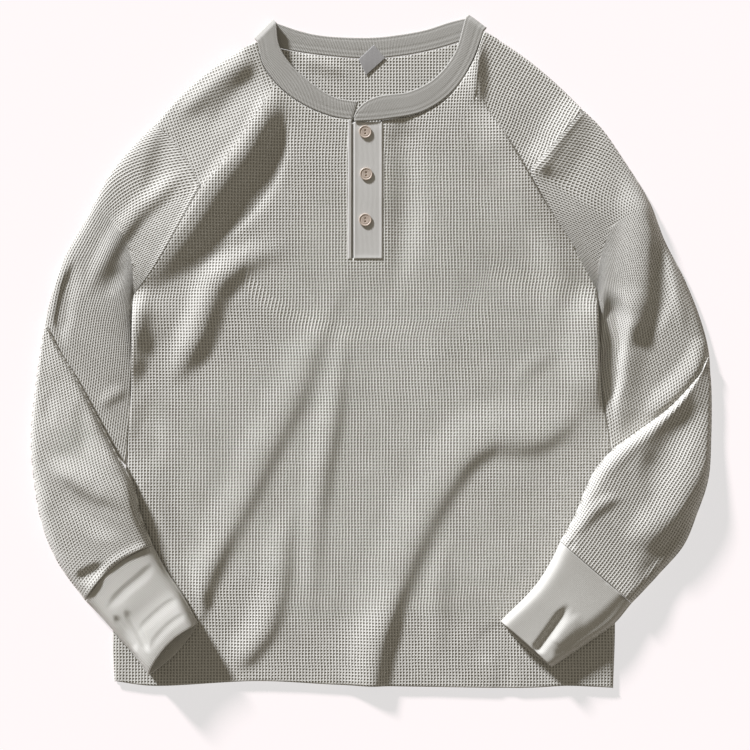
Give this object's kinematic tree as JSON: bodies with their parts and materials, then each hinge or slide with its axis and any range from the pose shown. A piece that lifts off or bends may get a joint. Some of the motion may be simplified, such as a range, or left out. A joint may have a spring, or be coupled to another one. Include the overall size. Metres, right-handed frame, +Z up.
{
  "type": "henley shirt",
  "caption": "Long-sleeved waffle-knit henley shirt laid flat, sleeves folded at the elbows, with a button placket and rib cuffs.",
  "frame": {"origin": "middle of the shirt's box, on the surface that it lies on", "axes": "+Z up from the surface, +Y from the hem towards the neck, +X towards the wearer's left side"},
  "size_m": [0.7142, 0.706, 0.0278],
  "materials": {
    "waffle_knit": "matt waffle knit in off-white stone",
    "rib_knit": "matt fine rib knit in off-white stone",
    "placket_cloth": "matt plain knit in off-white stone",
    "button": "satin beige resin",
    "label_cloth": "bare woven label cloth in warm grey"
  },
  "bodies": {
    "root": {"back": "waffle_knit", "front": "waffle_knit", "sleeve_left": "waffle_knit", "sleeve_right": "waffle_knit", "cuff_left": "rib_knit", "cuff_right": "rib_knit", "neckband": "rib_knit", "placket_over": "placket_cloth", "placket_under": "placket_cloth", "button_1": "button", "button_2": "button", "button_3": "button", "neck_label": "label_cloth"}
  },
  "joints": []
}
